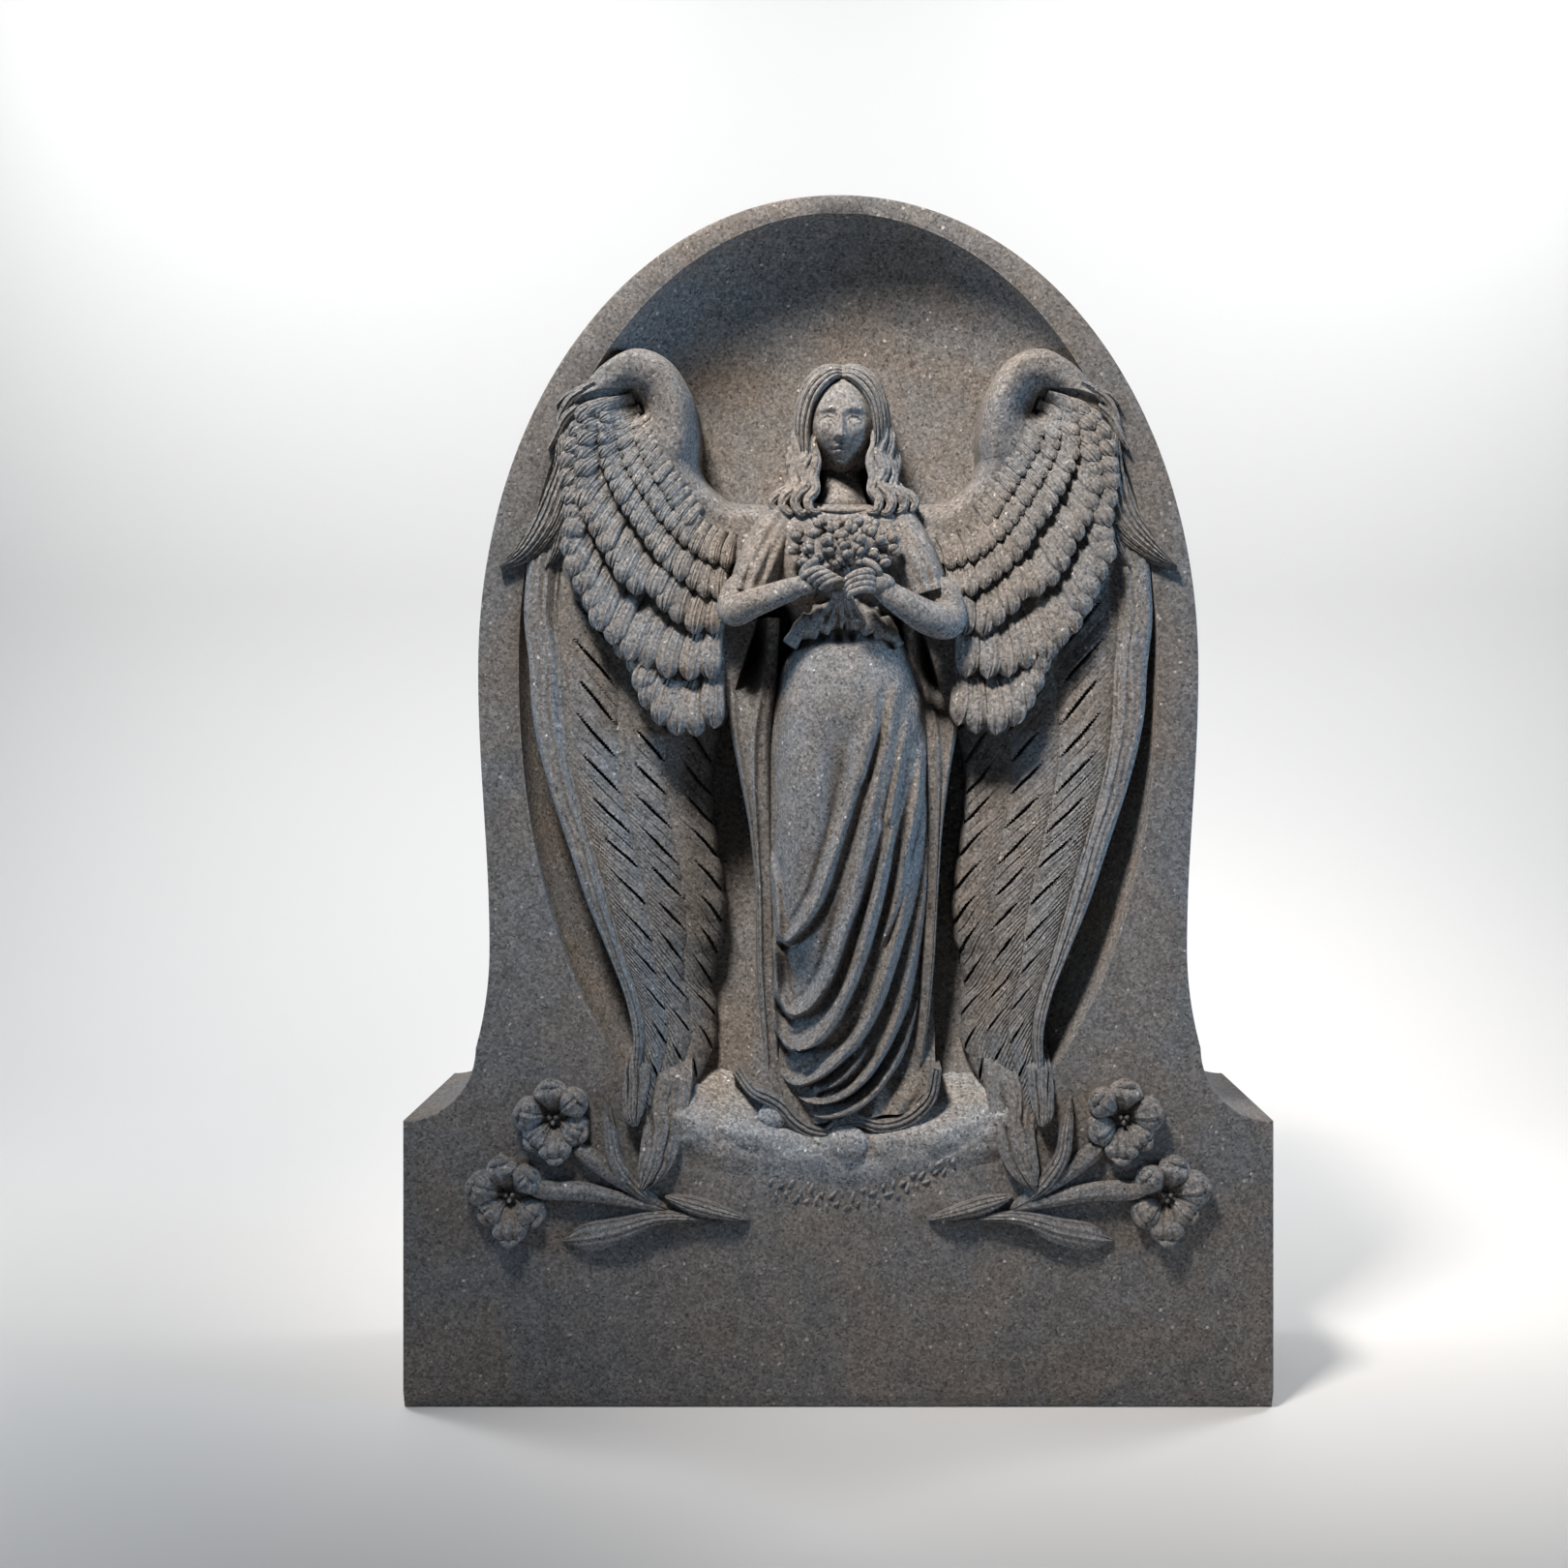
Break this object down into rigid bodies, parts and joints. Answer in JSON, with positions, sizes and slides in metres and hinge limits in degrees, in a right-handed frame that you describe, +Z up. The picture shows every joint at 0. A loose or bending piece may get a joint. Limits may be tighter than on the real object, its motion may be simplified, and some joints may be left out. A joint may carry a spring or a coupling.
{
  "type": "angel headstone",
  "caption": "Upright stone slab with a round-arched top and a wider foot, its front hollowed into an oval niche with a winged robed figure in high relief over mirrored lily sprays.",
  "frame": {"origin": "centre of the underside, at half the block's thickness", "axes": "+Z up, +Y towards the plain back, so the carved face looks towards -Y and +X is at the viewer's right"},
  "size_m": [1.08, 0.3586, 1.507],
  "materials": {
    "granite": "grey speckled granite, honed faces, finely tooled and frosted carving"
  },
  "bodies": {
    "root": {"headstone": "granite"}
  },
  "joints": []
}
